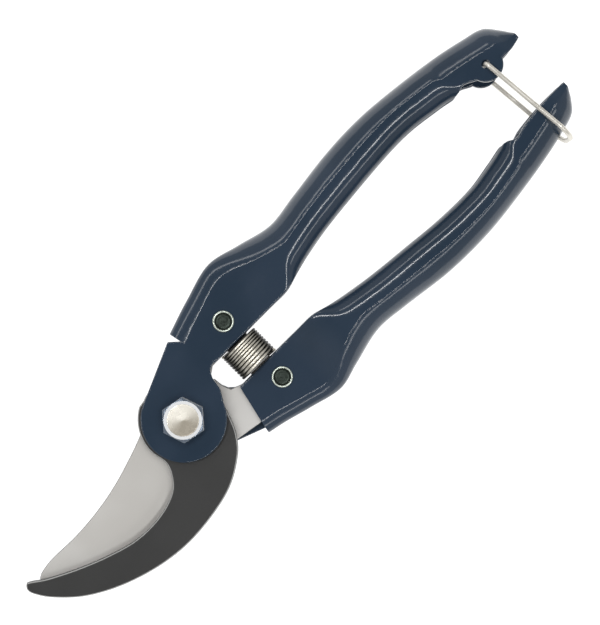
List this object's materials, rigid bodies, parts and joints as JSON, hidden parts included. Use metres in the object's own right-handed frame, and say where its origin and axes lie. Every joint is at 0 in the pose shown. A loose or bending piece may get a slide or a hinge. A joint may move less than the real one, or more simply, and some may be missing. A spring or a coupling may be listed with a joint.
{
  "type": "pruning shears",
  "caption": "Bypass pruning shears: pressed-steel handles, hooked counter blade, curved cutting blade, return spring, pivot bolt and wire latch.",
  "frame": {"origin": "Centre of the pivot bolt's rear end face, flush with the nut's face; the shears lie on the plane Z = 0.", "axes": "+X from the pivot along the closed handles, +Y across them towards the hook's handle, +Z along the pivot towards the bolt's head."},
  "size_m": [0.205, 0.0511, 0.0188],
  "materials": {
    "handle_paint": "glossy",
    "hook_coating": "satin",
    "blade_steel": "satin",
    "pivot_zinc": "satin",
    "rivet_steel": "satin",
    "spring_steel": "bright",
    "latch_nickel": "bright"
  },
  "bodies": {
    "hook_side": {"hook_handle": "handle_paint", "hook_plate": "hook_coating", "pivot_bolt": "pivot_zinc", "pivot_nut": "pivot_zinc", "pivot_washer": "pivot_zinc", "hook_rivet": "rivet_steel", "return_spring": "spring_steel"},
    "blade_side": {"blade_handle": "handle_paint", "cutting_blade": "blade_steel", "blade_rivet": "rivet_steel"},
    "latch": {"latch_wire": "latch_nickel"}
  },
  "joints": [
    {"name": "jaw_pivot", "type": "hinge", "parent": "hook_side", "child": "blade_side", "pos_m": [0, 0, 0.0095], "axis": [0, 0, -1], "range_deg": [0, 22], "deforming": ["return_spring"]},
    {"name": "latch_swing", "type": "hinge", "parent": "hook_side", "child": "latch", "pos_m": [0.1285, 0.0104, 0.0095], "axis": [0, 0, 1], "range_deg": [0, 236]}
  ],
  "couplings": [
    {"joint": "latch_swing", "follows": "jaw_pivot", "ratio": 10.7}
  ]
}
